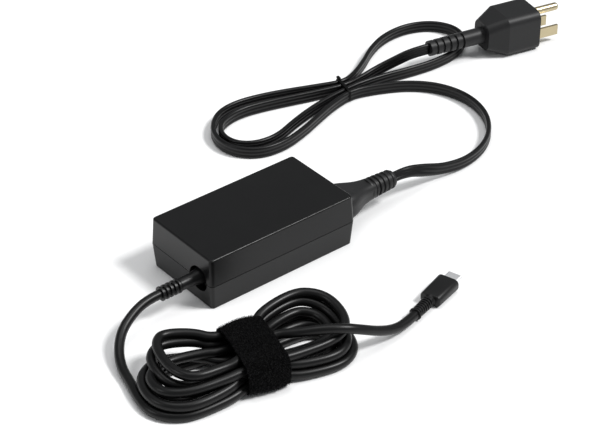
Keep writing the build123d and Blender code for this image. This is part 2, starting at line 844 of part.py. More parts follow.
dc_lead_route = placed(dc_lead_steps, relief_end, outlet_y)
dc_tail_route = placed(dc_tail_steps, hank_x, hank_y)
mains_lead_route = placed(mains_lead_steps, connector_end, inlet_y)
mains_loop_route = placed(mains_loop_steps, *tie_middle)
mains_tail_route = placed(mains_tail_steps, *tie_middle)
save(round_cord("dc_cord_lead", dc_lead_route), "dc_cord_lead")
save(round_cord("dc_cord_tail", dc_tail_route), "dc_cord_tail")
save(flat_cord("mains_cord_lead", mains_lead_route), "mains_cord_lead")
save(flat_cord("mains_cord_loop", mains_loop_route), "mains_cord_loop")
save(flat_cord("mains_cord_tail", mains_tail_route), "mains_cord_tail")

# ================================================================ hank and its strap
hank_plane = Plane(
    origin=(hank_x, hank_y, 0),
    x_dir=(cos(radians(hank_turn)), sin(radians(hank_turn)), 0),
    z_dir=(0, 0, 1),
)
across_hank = Plane(origin=hank_plane.origin, x_dir=hank_plane.y_dir, z_dir=hank_plane.x_dir)
bundle_middle = strap_thickness + strap_gap + bundle_height / 2

with BuildPart() as dc_cord_hank:
    with BuildSketch(hank_plane):
        with Locations(left_lobe):
            Ellipse(*left_lobe_radii)
        with Locations(right_lobe):
            Ellipse(*right_lobe_radii)
    extrude(amount=hank_height)
    fillet(dc_cord_hank.faces().group_by(Axis.Z)[-1].edges(), lobe_edge_radius)
    with BuildSketch(hank_plane):
        Rectangle(strap_width + 4 * strap_gap, 2 * hank_height + bundle_width)
    extrude(amount=hank_height, mode=Mode.SUBTRACT)
    with BuildSketch(across_hank):
        with Locations((strap_middle, bundle_middle)):
            RectangleRounded(bundle_width, bundle_height, bundle_corner)
    extrude(amount=strap_width / 2 + bundle_overlap, both=True)
save(dc_cord_hank, "dc_cord_hank")

with BuildPart() as hook_and_loop_strap:
    with BuildSketch(across_hank):
        with Locations((strap_middle, bundle_middle)):
            RectangleRounded(
                bundle_width + 2 * (strap_thickness + strap_gap),
                bundle_height + 2 * (strap_thickness + strap_gap),
                bundle_corner + strap_thickness,
            )
            RectangleRounded(
                bundle_width + 2 * strap_gap,
                bundle_height + 2 * strap_gap,
                bundle_corner,
                mode=Mode.SUBTRACT,
            )
    extrude(amount=strap_width / 2, both=True)
save(hook_and_loop_strap, "hook_and_loop_strap")

# ================================================================ coil of the mains lead and its tie
tie_plane = Plane(
    origin=(*tie_middle, 0),
    x_dir=(cos(radians(tie_turn)), sin(radians(tie_turn)), 0),
    z_dir=(0, 0, 1),
)
across_tie = Plane(
    origin=(*tie_middle, coil_height / 2), x_dir=tie_plane.y_dir, z_dir=tie_plane.x_dir
)
tie_slot = tie_width + 2 * fit_gap

with BuildPart() as mains_cord_coil:
    with BuildSketch(Plane.XY):
        with Locations(coil_left):
            Circle(coil_radius)
        with Locations(tie_middle):
            Circle(bundle_radius)
        make_hull()
    extrude(amount=coil_height)
    # a waist where the tie goes round the four strands
    with BuildSketch(across_tie):
        Rectangle(4 * bundle_radius, 4 * coil_height)
        Rectangle(tie_bundle_width, coil_height - 2 * tie_thickness, mode=Mode.SUBTRACT)
    extrude(amount=tie_slot / 2, both=True, mode=Mode.SUBTRACT)
save(mains_cord_coil, "mains_cord_coil")

with BuildPart() as cord_tie:
    with BuildSketch(across_tie):
        RectangleRounded(tie_bundle_width + 2 * tie_thickness, coil_height, tie_thickness / 2)
        Rectangle(
            tie_bundle_width + fit_gap, coil_height - 2 * tie_thickness + fit_gap, mode=Mode.SUBTRACT
        )
    extrude(amount=tie_width / 2, both=True)
save(cord_tie, "cord_tie")

# ================================================================ mains connector of the lead
# The nose goes into the inlet with a small clearance all round; its sleeves grip the pins.
nose_tip = recess_floor + nose_clearance
body_stations = [(connector_back, connector_width, connector_height), *connector_taper]
ribbed_length = connector_end - connector_last_rib - connector_ribs_start
rib_step = (ribbed_length - connector_rib_width) / connector_ribs

with BuildPart() as mains_connector:
    for x, width, height in body_stations:
        with BuildSketch(end_plane(x, inlet_y, inlet_z)):
            RectangleRounded(width, height, height * connector_corner)
    loft()
    with BuildSketch(end_plane(nose_tip, inlet_y, inlet_z)):
        with Locations(*lobe_places):
            Circle(lobe_radius - nose_clearance)
        make_hull()
    extrude(amount=connector_back - nose_tip)
    with BuildSketch(end_plane(nose_tip, inlet_y, inlet_z)):
        with Locations(*lobe_places):
            Circle(sleeve_radius + fit_gap / 2)
    extrude(amount=sleeve_length + sleeve_recess, mode=Mode.SUBTRACT)
    with BuildSketch(end_plane(connector_ribs_start, inlet_y, inlet_z)):
        Circle(connector_core_radius)
    extrude(amount=connector_end - connector_ribs_start)
    for rib in range(connector_ribs):
        rib_x = connector_ribs_start + (rib + 1) * rib_step - connector_rib_width / 2
        with BuildSketch(end_plane(rib_x, inlet_y, inlet_z)):
            Circle(connector_rib_radius)
        extrude(amount=connector_rib_width)
save(mains_connector, "mains_connector")

with BuildPart() as mains_connector_sleeves:
    with BuildSketch(end_plane(nose_tip + sleeve_recess, inlet_y, inlet_z)):
        with Locations(*lobe_places):
            Circle(sleeve_radius)
            Circle(sleeve_bore, mode=Mode.SUBTRACT)
    extrude(amount=sleeve_length)
save(mains_connector_sleeves, "mains_connector_sleeves")

# ================================================================ USB-C plug
# The plug lies in line with the last run of its cord.
usb_ahead = (Vector(*dc_tail_route[-1]) - Vector(*dc_tail_route[-2])).normalized()
usb_side = Vector(-usb_ahead.Y, usb_ahead.X, 0)
usb_back = Vector(*dc_tail_route[-1]) + usb_ahead * usb_relief_length


def usb_plane(distance):
    """A plane across the plug, that far ahead of the back of its grip."""
    return Plane(origin=usb_back + usb_ahead * distance, x_dir=usb_side, z_dir=usb_ahead)


with BuildPart() as usb_plug_grip:
    with BuildSketch(usb_plane(0)):
        RectangleRounded(usb_width - 2 * usb_taper, usb_height - usb_taper, usb_corner - usb_taper)
    with BuildSketch(usb_plane(usb_length * usb_widest_share)):
        RectangleRounded(usb_width, usb_height, usb_corner)
    with BuildSketch(usb_plane(usb_length)):
        RectangleRounded(usb_width - usb_taper, usb_height - usb_taper, usb_corner - usb_taper / 2)
    loft()
    front_face = usb_plug_grip.faces().sort_by(Axis(usb_back, usb_ahead))[-1]
    fillet(front_face.edges(), usb_front_edge)
    with BuildSketch(usb_plane(usb_length - usb_shell_in)):
        RectangleRounded(usb_shell_width, usb_shell_height, usb_shell_corner)
    extrude(amount=usb_shell_in, mode=Mode.SUBTRACT)
    with BuildSketch(usb_plane(usb_length - usb_shell_in - usb_board_room[2])):
        Rectangle(usb_board_room[0], usb_board_room[1])
    extrude(amount=usb_board_room[2], mode=Mode.SUBTRACT)
    with BuildSketch(usb_plane(-usb_relief_length)):
        Circle(usb_core_radius)
    extrude(amount=usb_relief_length)
    for rib in range(usb_ribs):
        rib_place = (rib + 0.5) * usb_relief_length / usb_ribs
        with BuildSketch(usb_plane(-rib_place - usb_rib_width / 2)):
            Circle(usb_rib_radius - usb_rib_taper * rib)
        extrude(amount=usb_rib_width)
save(usb_plug_grip, "usb_plug_grip")

with BuildPart() as usb_plug_shell:
    with BuildSketch(usb_plane(usb_length - usb_shell_in)):
        RectangleRounded(usb_shell_width, usb_shell_height, usb_shell_corner)
        RectangleRounded(
            usb_shell_width - 2 * usb_shell_wall,
            usb_shell_height - 2 * usb_shell_wall,
            usb_shell_corner - usb_shell_wall,
            mode=Mode.SUBTRACT,
        )
    extrude(amount=usb_shell_in + usb_shell_out)
save(usb_plug_shell, "usb_plug_shell")

# the insulator lines the shell and leaves the slot for the socket's tongue
insert_width = usb_shell_width - 2 * (usb_shell_wall + usb_insert_gap)
insert_height = usb_shell_height - 2 * (usb_shell_wall + usb_insert_gap)
with BuildPart() as usb_plug_insert:
    with BuildSketch(usb_plane(usb_length - usb_shell_in)):
        RectangleRounded(insert_width, insert_height, usb_shell_corner - usb_shell_wall)
    extrude(amount=usb_shell_in + usb_shell_out - usb_insert_setback)
    with BuildSketch(usb_plane(usb_length)):
        Rectangle(slot_width, slot_height + 2 * contact_thickness + slot_gap)
    extrude(amount=usb_shell_out, mode=Mode.SUBTRACT)
save(usb_plug_insert, "usb_plug_insert")

with BuildPart() as usb_plug_contacts:
    with BuildSketch(usb_plane(usb_length + contact_setback)):
        with GridLocations(contact_pitch, slot_height + contact_thickness, contact_rows, 2):
            Rectangle(contact_width, contact_thickness)
    extrude(amount=usb_shell_out - contact_clear)
save(usb_plug_contacts, "usb_plug_contacts")

with BuildPart() as usb_plug_board:
    with BuildSketch(usb_plane(usb_length - usb_shell_in - usb_board_size[2] - layer_gap / 2)):
        Rectangle(usb_board_size[0], usb_board_size[1])
    extrude(amount=usb_board_size[2])
save(usb_plug_board, "usb_plug_board")

# ================================================================ wall plug
plug_rear = Vector(*mains_tail_route[-1])
plug_ahead = (Vector(*mains_tail_route[-1]) - Vector(*mains_tail_route[-2])).normalized()
plug_side = Vector(-plug_ahead.Y, plug_ahead.X, 0)


def plug_plane(distance):
    """A plane across the wall plug, that far ahead of the rear of its strain relief."""
    return Plane(origin=plug_rear + plug_ahead * distance, x_dir=plug_side, z_dir=plug_ahead)


plug_face = neck_length + plug_length
with BuildPart() as wall_plug_body:
    with BuildSketch(plug_plane(neck_length)):
        RectangleRounded(plug_width * plug_rear_share, plug_height * plug_rear_share, plug_corner)
    with BuildSketch(plug_plane(neck_length + plug_length * plug_shoulder_share)):
        RectangleRounded(plug_width, plug_height, plug_corner)
    with BuildSketch(plug_plane(plug_face)):
        RectangleRounded(plug_width, plug_height, plug_corner)
    loft(ruled=True)
    with BuildSketch(plug_plane(0)):
        Circle(neck_rear_radius)
    with BuildSketch(plug_plane(neck_length)):
        Circle(neck_front_radius)
    loft()
    for slot in range(neck_slots):
        with BuildSketch(plug_plane(neck_slot_start + slot * neck_slot_pitch)):
            Circle(neck_front_radius + wall)
            Circle(neck_rear_radius - neck_slot_depth, mode=Mode.SUBTRACT)
        extrude(amount=neck_slot_width, mode=Mode.SUBTRACT)
    with BuildSketch(plug_plane(plug_face - blade_in)):
        with Locations((0, -plug_pin_rise)):
            with GridLocations(blade_spacing, 0, 2, 1):
                Rectangle(blade_thickness, blade_width)
        with Locations((0, earth_pin_offset - plug_pin_rise)):
            Circle(earth_pin_root_radius)
    extrude(amount=blade_in, mode=Mode.SUBTRACT)
save(wall_plug_body, "wall_plug_body")

with BuildPart() as wall_plug_blades:
    with BuildSketch(plug_plane(plug_face - blade_in)):
        with Locations((0, -plug_pin_rise)):
            with GridLocations(blade_spacing, 0, 2, 1):
                Rectangle(blade_thickness, blade_width)
    extrude(amount=blade_in + blade_out)
save(wall_plug_blades, "wall_plug_blades")

with BuildPart() as wall_plug_earth_pin:
    with BuildSketch(plug_plane(plug_face - blade_in)):
        with Locations((0, earth_pin_offset - plug_pin_rise)):
            Circle(earth_pin_root_radius)
    extrude(amount=blade_in)
    with BuildSketch(plug_plane(plug_face)):
        with Locations((0, earth_pin_offset - plug_pin_rise)):
            Circle(earth_pin_radius)
    extrude(amount=earth_pin_out)
    fillet(wall_plug_earth_pin.edges().sort_by(Axis(plug_rear, plug_ahead))[-1], earth_pin_tip_round)
save(wall_plug_earth_pin, "wall_plug_earth_pin")
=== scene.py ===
# %% [markdown]
# # A laptop power adapter, its hank of cord and its mains lead
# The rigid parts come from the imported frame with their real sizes, and this file gives them their
# looks. It adds what bends: the round low-voltage cord, wound six times and held by a strap, and the
# flat three-core mains lead, wound twice and held by a thin tie. Lengths are in metres.

# %% Load the frame
import json
import math
import random

import bmesh
import bpy
from mathutils import Matrix, Vector


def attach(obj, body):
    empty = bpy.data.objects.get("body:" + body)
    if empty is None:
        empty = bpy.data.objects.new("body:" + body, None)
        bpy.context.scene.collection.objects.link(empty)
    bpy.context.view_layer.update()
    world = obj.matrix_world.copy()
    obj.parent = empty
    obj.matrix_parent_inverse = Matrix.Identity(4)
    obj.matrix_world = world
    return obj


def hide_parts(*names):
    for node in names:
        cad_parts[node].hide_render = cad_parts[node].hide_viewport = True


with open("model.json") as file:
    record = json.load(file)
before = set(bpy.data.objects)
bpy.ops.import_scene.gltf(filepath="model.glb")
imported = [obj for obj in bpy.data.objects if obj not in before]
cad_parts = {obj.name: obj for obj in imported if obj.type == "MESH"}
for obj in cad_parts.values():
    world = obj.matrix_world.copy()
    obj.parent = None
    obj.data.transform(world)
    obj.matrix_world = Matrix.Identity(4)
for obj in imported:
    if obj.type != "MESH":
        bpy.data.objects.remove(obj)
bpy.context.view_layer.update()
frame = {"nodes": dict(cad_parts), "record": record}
bpy.ops.object.select_all(action="DESELECT")
MM = 0.001

# %% [markdown]
# ## Camera
# A long lens stands back from the adapter and looks down at about 35 degrees, so that upright edges
# stay nearly parallel. The camera's place is fixed by where it looks from, its heading and its dip.

# %% Camera
CAMERA_PLACE = (-0.50721, -0.65946, 0.59992)
CAMERA_HEADING = math.radians(39.17)
CAMERA_DIP = math.radians(34.94)

camera_data = bpy.data.cameras.new("studio_camera")
camera_data.lens = 120.36
camera_data.sensor_width = 36.0
camera_data.clip_start = 0.01
camera = bpy.data.objects.new("studio_camera", camera_data)
camera.location = CAMERA_PLACE
camera.rotation_euler = (math.pi / 2 - CAMERA_DIP, 0, -CAMERA_HEADING)
bpy.context.scene.collection.objects.link(camera)
bpy.context.scene.camera = camera

# %% [markdown]
# ## Light and floor
# Black things are best lit from large soft sources, because a black surface shows little but what
# it reflects. One broad panel hangs straight above. The key light comes from the
# right in front, where the rounded top edges mirror it as a bright line and every shadow falls to
# the left. A small panel lifts the left side, and a dim sky keeps the shadows soft. The plain
# Standard transform keeps the floor white.

# %% Light and floor
SKY_STRENGTH = 0.3
bpy.context.scene.view_settings.view_transform = "Standard"

world = bpy.data.worlds.new("studio_sky")
world.use_nodes = True
sky = world.node_tree.nodes["Background"]
sky.inputs["Color"].default_value = (0.96, 0.98, 1.0, 1.0)
sky.inputs["Strength"].default_value = SKY_STRENGTH
bpy.context.scene.world = world


def soft_panel(name, place, target, size, power):
    """A square area light that faces its target."""
    data = bpy.data.lights.new(name, "AREA")
    data.shape = "RECTANGLE"
    data.size, data.size_y = size
    data.energy = power
    panel = bpy.data.objects.new(name, data)
    panel.location = place
    panel.rotation_euler = (Vector(target) - Vector(place)).to_track_quat("-Z", "Y").to_euler()
    bpy.context.scene.collection.objects.link(panel)
    return panel


soft_panel("panel_above", (0.05, 0.1, 1.5), (0.02, 0.05, 0.0), (1.0, 1.0), 7.0)
soft_panel("panel_left", (-0.9, 0.3, 0.6), (0.0, -0.03, 0.0), (0.3, 0.3), 1.5)

KEY_STRENGTH = 2.8
KEY_SPREAD = math.radians(16)
KEY_FROM = Vector((0.5, -0.54, 0.95))

key_data = bpy.data.lights.new("key", "SUN")
key_data.energy = KEY_STRENGTH
key_data.angle = KEY_SPREAD
key = bpy.data.objects.new("key", key_data)
key.rotation_euler = KEY_FROM.to_track_quat("Z", "Y").to_euler()
bpy.context.scene.collection.objects.link(key)

bpy.ops.mesh.primitive_plane_add(size=6.0, location=(0, 0, 0))
floor = bpy.context.object
floor.name = "floor"
floor_material = bpy.data.materials.new("pale_floor")
floor_material.use_nodes = True
floor_shader = floor_material.node_tree.nodes["Principled BSDF"]
floor_shader.inputs["Base Color"].default_value = (0.93, 0.93, 0.93, 1)
floor_shader.inputs["Roughness"].default_value = 0.6
floor_shader.inputs["Specular IOR Level"].default_value = 0.15
floor.data.materials.append(floor_material)
bpy.ops.object.select_all(action="DESELECT")
print("stage: floor, sky, key light and 2 panels")

# %% [markdown]
# ## Shared effects
# Three effects come back in nearly every finish, so each is a node group. The grain is the fine
# texture that a mould leaves, with a slow mottling of the shade. The wear mask marks thin scuffs
# from handling. The dust mask gathers in slow patches on what faces up. All of them read Object
# coordinates, so that they stay on the piece when it moves.

# %% Node groups
def new_group(name, inputs, outputs):
    """An empty shader node group with named sockets, each input with its first value."""
    group = bpy.data.node_groups.new(name, "ShaderNodeTree")
    for label, value in inputs:
        socket = group.interface.new_socket(name=label, in_out="INPUT", socket_type="NodeSocketFloat")
        socket.default_value = value
    for label in outputs:
        group.interface.new_socket(name=label, in_out="OUTPUT", socket_type="NodeSocketFloat")
    return group, group.nodes.new("NodeGroupInput"), group.nodes.new("NodeGroupOutput")


def add(tree, kind, **values):
    """A node with its inputs set by name; an input given a socket is linked to it."""
    node = tree.nodes.new(kind)
    for label, value in values.items():
        label = label.replace("_", " ")
        if hasattr(node, label.replace(" ", "_")) and label not in node.inputs:
            setattr(node, label.replace(" ", "_"), value)
        elif isinstance(value, bpy.types.NodeSocket):
            tree.links.new(value, node.inputs[label])
        else:
            node.inputs[label].default_value = value
    return node


def link_maths(tree, operation, first, second):
    """One Math node; either side may be a number or a socket."""
    node = tree.nodes.new("ShaderNodeMath")
    node.operation = operation
    for socket, value in zip(node.inputs, (first, second)):
        if isinstance(value, bpy.types.NodeSocket):
            tree.links.new(value, socket)
        else:
            socket.default_value = value
    return node.outputs[0]


def grain_group():
    group, given, out = new_group("grain", [("Size", 3000.0), ("Pits", 0.5)], ["Height", "Mottle"])
    place = group.nodes.new("ShaderNodeTexCoord").outputs["Object"]
    fine = add(group, "ShaderNodeTexNoise", Vector=place, Scale=given.outputs["Size"], Detail=3.0)
    pits = add(group, "ShaderNodeTexVoronoi", Vector=place, Scale=given.outputs["Size"])
    slow = add(group, "ShaderNodeTexNoise", Vector=place, Scale=55.0, Detail=4.0, Roughness=0.6)
    pitted = link_maths(group, "MULTIPLY", pits.outputs["Distance"], given.outputs["Pits"])
    height = link_maths(group, "ADD", fine.outputs["Fac"], pitted)
    group.links.new(height, out.inputs["Height"])
    group.links.new(slow.outputs["Fac"], out.inputs["Mottle"])
    return group


def wear_group():
    group, given, out = new_group("wear", [("Amount", 0.5), ("Stretch", 8.0)], ["Mask"])
    place = group.nodes.new("ShaderNodeTexCoord").outputs["Object"]
    turned = add(group, "ShaderNodeMapping", Vector=place)
    turned.inputs["Rotation"].default_value = (0.3, 0.2, 0.7)
    turned.inputs["Scale"].default_value = (60.0, 700.0, 700.0)
    scuff = add(group, "ShaderNodeTexNoise", Vector=turned.outputs[0], Scale=1.0, Detail=2.0)
    patch = add(group, "ShaderNodeTexNoise", Vector=place, Scale=38.0, Detail=2.0)
    both = link_maths(group, "MULTIPLY", scuff.outputs["Fac"], patch.outputs["Fac"])
    edge = add(group, "ShaderNodeMapRange", Value=both)
    edge.inputs["From Min"].default_value = 0.33
    edge.inputs["From Max"].default_value = 0.42
    mask = link_maths(group, "MULTIPLY", edge.outputs[0], given.outputs["Amount"])
    group.links.new(mask, out.inputs["Mask"])
    return group


def dust_group():
    group, given, out = new_group("dust", [("Amount", 0.3)], ["Mask"])
    place = group.nodes.new("ShaderNodeTexCoord").outputs["Object"]
    normal = group.nodes.new("ShaderNodeNewGeometry").outputs["Normal"]
    up = add(group, "ShaderNodeSeparateXYZ", Vector=normal)
    facing = link_maths(group, "MAXIMUM", up.outputs["Z"], 0.0)
    specks = add(group, "ShaderNodeTexNoise", Vector=place, Scale=900.0, Detail=5.0, Roughness=0.8)
    sparse = add(group, "ShaderNodeMapRange", Value=specks.outputs["Fac"])
    sparse.inputs["From Min"].default_value = 0.55
    sparse.inputs["From Max"].default_value = 0.8
    dusted = link_maths(group, "MULTIPLY", facing, sparse.outputs[0])
    mask = link_maths(group, "MULTIPLY", dusted, given.outputs["Amount"])
    group.links.new(mask, out.inputs["Mask"])
    return group


EFFECTS = {"grain": grain_group(), "wear": wear_group(), "dust": dust_group()}
print("effects:", ", ".join(EFFECTS))


# %% [markdown]
# ## One recipe for moulded and metal finishes
# Every finish starts from a colour that drifts a little between two shades, a roughness that the
# same mottling and the scuffs change, and a bump from the grain. Only the numbers differ between a
# cord's jacket, a moulded case and plated steel, so one function makes them all.

# %% The recipe
def placed_group(tree, name, **values):
    """One of the shared effects inside a material, with its own values."""
    node = tree.nodes.new("ShaderNodeGroup")
    node.node_tree = EFFECTS[name]
    for label, value in values.items():
        node.inputs[label].default_value = value
    return node


def blended(tree, amount, low, high):
    """A colour between two, by a mask."""
    node = tree.nodes.new("ShaderNodeMix")
    node.data_type = "RGBA"
    tree.links.new(amount, node.inputs["Factor"])
    for socket, colour in ((node.inputs[6], low), (node.inputs[7], high)):
        if isinstance(colour, bpy.types.NodeSocket):
            tree.links.new(colour, socket)
        else:
            socket.default_value = (*colour, 1.0)
    return node.outputs[2]


def shaded(colour, factor):
    return tuple(min(1.0, channel * factor) for channel in colour)


def finish(name, colour, roughness, grain=0.3, depth=0.02, mottle=0.25, wear=0.1, dust=0.05,
           metallic=0.0, sheen=0.0, specular=0.5, coat=0.0):
    """A material: grain is the texture's size in mm and depth its height in mm."""
    material = bpy.data.materials.new(name)
    material.use_nodes = True
    tree = material.node_tree
    shader = tree.nodes["Principled BSDF"]
    texture = placed_group(tree, "grain", Size=1.0 / (grain * MM))
    scuffs = placed_group(tree, "wear", Amount=wear)
    dusting = placed_group(tree, "dust", Amount=dust)
    base = blended(tree, texture.outputs["Mottle"], shaded(colour, 1 - mottle), shaded(colour, 1 + mottle))
    worn = blended(tree, scuffs.outputs["Mask"], base, shaded(colour, 2.2))
    dusty = blended(tree, dusting.outputs["Mask"], worn, (0.32, 0.31, 0.3))
    tree.links.new(dusty, shader.inputs["Base Color"])
    spread = add(tree, "ShaderNodeMapRange", Value=texture.outputs["Mottle"])
    spread.inputs["To Min"].default_value = max(0.02, roughness - 0.07)
    spread.inputs["To Max"].default_value = min(1.0, roughness + 0.07)
    scuffed = link_maths(tree, "ADD", spread.outputs[0], scuffs.outputs["Mask"])
    tree.links.new(scuffed, shader.inputs["Roughness"])
    bump = add(tree, "ShaderNodeBump", Height=texture.outputs["Height"], Distance=depth * MM)
    tree.links.new(bump.outputs["Normal"], shader.inputs["Normal"])
    shader.inputs["Metallic"].default_value = metallic
    shader.inputs["Sheen Weight"].default_value = sheen
    shader.inputs["Specular IOR Level"].default_value = specular
    shader.inputs["Coat Weight"].default_value = coat
    return material


# %% [markdown]
# ## Low-voltage cord: one line from the case to the plug
# The real cord is one round piece 1.8 m long: it leaves the case, runs to the hank, goes six times
# round it, and comes out on top to its plug. So it is one curve here too. Its free ends are lists of
# points, and the turns come from a loop: each turn passes under the strap, swings out into the right
# lobe, comes back and swings out into the left one. Every turn has its own reach and its own
# height, because hand-wound turns lie on and beside each other and fan out where nothing ties them.

# %% Route of the low-voltage cord
DC_CORD = 5.0 * MM
HANK_MIDDLE = Vector((-60.5, -75.5, 0))
HANK_TURN = Matrix.Rotation(math.radians(-10), 3, "Z")
STRAP_EDGE = 10.5
LOBE_MIDDLES = (-27.0, 28.0)

dc_lead_points = [
    (-68.0, -12.9, 14.0),
    (-76.0, -12.9, 14.0),
    (-86.0, -15.3, 12.2),
    (-96.0, -19.8, 9.0),
    (-103.4, -27.6, 5.6),
    (-108.0, -36.8, 3.1),
    (-110.2, -46.4, 2.5),
]
dc_tail_points = [
    (-47.3, -72.1, 14.4),
    (-38.2, -81.3, 16.9),
    (-28.5, -89.1, 19.0),
    (-18.9, -95.0, 18.5),
    (-9.6, -97.1, 14.2),
    (0.0, -97.5, 8.9),
    (9.7, -97.1, 4.9),
    (19.0, -95.6, 3.4),
    (26.6, -93.3, 3.4),
]
# for each turn: reach and height at the far side, at the end and at the near side of its lobe
left_lobes = [
    ((24.6, 2.5), (-56.0, 2.5), (-17.4, 2.5)),
    ((24.6, 2.5), (-50.4, 2.5), (-12.2, 2.5)),
    ((19.4, 2.5), (-45.2, 2.5), (-7.0, 2.5)),
    ((23.4, 7.2), (-53.6, 6.8), (-16.8, 7.2)),
    ((27.4, 12.6), (-44.6, 12.0), (-4.4, 8.4)),
    ((18.2, 9.0), (-49.8, 10.2), (-11.4, 11.6)),
    ((29.8, 16.2), (-40.4, 16.2), (-8.4, 16.2)),
]
right_lobes = [
    ((25.8, 2.5), (53.6, 2.5), (-18.8, 2.5)),
    ((20.2, 2.5), (48.4, 2.5), (-13.6, 2.5)),
    ((12.0, 2.5), (43.0, 2.5), (-8.2, 2.5)),
    ((27.6, 12.2), (51.0, 8.0), (-16.6, 7.1)),
    ((22.8, 8.8), (45.6, 7.4), (-4.8, 7.2)),
    ((28.6, 15.8), (52.6, 14.0), (-11.2, 11.6)),
]
# where each turn passes through the strap, across it and above the floor
last_near_pass = (-5.0, 14.2)
near_passes = [(-12.4, 4.1), (-7.2, 4.1), (-2.0, 4.1), (-9.4, 8.4), (-3.4, 8.4), (-10.6, 12.6)]
far_passes = [(18.6, 4.1), (13.4, 4.1), (8.2, 4.1), (17.4, 8.4), (12.0, 8.4), (17.6, 12.8)]


def hank_point(along, across, height):
    """A point given along and across the hank, in the row frame, in mm."""
    return HANK_MIDDLE + HANK_TURN @ Vector((along, across, height))


def squared(value):
    """Keeps the sign and fills out an ellipse towards a rounded rectangle."""
    return math.copysign(abs(value) ** 0.8, value)


def lobe(side, reaches, first_angle, last_angle, steps):
    """Points round one lobe, from one angle to another; 90 degrees is its far side."""
    (far, far_height), (end, end_height), (near, near_height) = reaches
    middle = LOBE_MIDDLES[side]
    points = []
    for step in range(steps):
        angle = math.radians(first_angle + (last_angle - first_angle) * step / (steps - 1))
        sideways = squared(math.sin(angle))
        outward = squared(math.cos(angle))
        height = far_height if sideways > 0 else near_height
        height = end_height + (height - end_height) * abs(sideways)
        across = (far + near) / 2 + (far - near) / 2 * sideways
        points.append(hank_point(middle + (end - middle) * outward, across, height))
    return points


def pass_through(side, strap_pass, reach):
    """The point at the strap's edge and one halfway out to the lobe."""
    edge = math.copysign(STRAP_EDGE, LOBE_MIDDLES[side])
    halfway = edge * 1.75
    across = strap_pass[0] * 0.45 + reach[0] * 0.55
    height = strap_pass[1] * 0.4 + reach[1] * 0.6
    return [hank_point(edge, *strap_pass), hank_point(halfway, across, height)]


dc_points = [Vector(point) for point in dc_lead_points]
dc_points += lobe(0, left_lobes[0], 12, -72, 5)
for turn, (right, near, far) in enumerate(zip(right_lobes, near_passes, far_passes)):
    left_near = left_lobes[turn][2]
    dc_points += reversed(pass_through(0, near, left_near))
    dc_points += pass_through(1, near, right[2])
    dc_points += lobe(1, right, -72, 72, 6)
    dc_points += reversed(pass_through(1, far, right[0]))
    dc_points += pass_through(0, far, left_lobes[turn + 1][0])
    dc_points += lobe(0, left_lobes[turn + 1], 72, -72, 6)
dc_points += reversed(pass_through(0, last_near_pass, left_lobes[-1][2]))
dc_points += [Vector(point) for point in dc_tail_points]


def smooth_line(name, points):
    """An open NURBS curve with these points, in mm, as its control points."""
    data = bpy.data.curves.new(name, "CURVE")
    data.dimensions = "3D"
    spline = data.splines.new("NURBS")
    spline.points.add(len(points) - 1)
    for control, point in zip(spline.points, points):
        control.co = (*(Vector(point) * MM), 1.0)
    spline.order_u = 3
    spline.use_endpoint_u = True
    data.resolution_u = 8
    curve = bpy.data.objects.new(name, data)
    bpy.context.scene.collection.objects.link(curve)
    return curve


def line_points(curve):
    """The points that a curve runs through, and their length added up."""
    line = bpy.data.meshes.new_from_object(curve)
    points = [vertex.co.copy() for vertex in line.vertices]
    bpy.data.meshes.remove(line)
    length = sum((b - a).length for a, b in zip(points, points[1:]))
    return points, length


dc_cord = smooth_line("dc_cord", dc_points)
dc_length = line_points(dc_cord)[1]
print(f"low-voltage cord: {dc_length:.3f} m in {len(dc_points)} control points")

# %% Jacket of the low-voltage cord
dc_cord.data.bevel_depth = DC_CORD / 2
dc_cord.data.bevel_resolution = 5
dc_cord.data.use_fill_caps = True
dc_cord.data.materials.append(
    finish("satin_jacket", (0.003, 0.003, 0.0031), 0.36, grain=0.5, depth=0.01, wear=0.03, dust=0.02,
           specular=0.26)
)
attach(dc_cord, "adapter")
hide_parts("dc_cord_lead", "dc_cord_hank", "dc_cord_tail")

# %% [markdown]
# ## Mains lead: a flat cord on its edge
# This lead has three cores side by side, so it is wide and thin, and it lies on its edge in the
# coil. A curve's own bevel can't twist on purpose, so the jacket is swept in mesh code: the outline
# with its three soft ridges follows the line, flat at the connector and turned on edge a little
# further on. Its line runs through the tie four times: the end from the connector, both ends of the
# big loop, and the end to the plug.

# %% Route of the mains lead
MAINS_WIDTH = 7.0 * MM
MAINS_THICKNESS = 2.7 * MM
MAINS_TWIST = 38 * MM
WEB_SHARE = 0.55
ON_EDGE = 3.5

mains_lead_points = [
    (86.5, -7.5, 14.0),
    (96.5, -7.5, 14.0),
    (109.0, -7.7, 9.8),
    (123.0, -8.8, 5.4),
    (139.0, -9.6, 3.6),
    (155.5, -5.6, ON_EDGE),
    (170.5, 4.4, ON_EDGE),
    (181.6, 20.0, ON_EDGE),
    (185.6, 39.0, ON_EDGE),
    (180.6, 57.5, ON_EDGE),
    (168.2, 71.0, ON_EDGE),
    (151.0, 79.6, ON_EDGE),
    (136.7, 84.1, ON_EDGE),
]
outer_turn_points = [
    (121.0, 81.0), (106.0, 75.8), (91.0, 70.2), (74.5, 66.0), (59.4, 67.4), (49.6, 75.4),
    (46.0, 87.0), (48.6, 98.6), (55.2, 107.4), (65.0, 114.2), (78.0, 115.8), (93.6, 112.6),
    (109.0, 107.2), (124.0, 101.0),
]
mains_loop_points = [
    (139.6, 94.8), (150.0, 97.6), (162.6, 104.2), (176.6, 113.6), (192.6, 120.6), (211.0, 121.6),
    (226.4, 114.6), (233.4, 101.0), (229.0, 87.6), (215.6, 80.2), (198.0, 78.8), (180.0, 81.4),
    (163.0, 85.4), (148.0, 87.4), (137.6, 87.6),
]
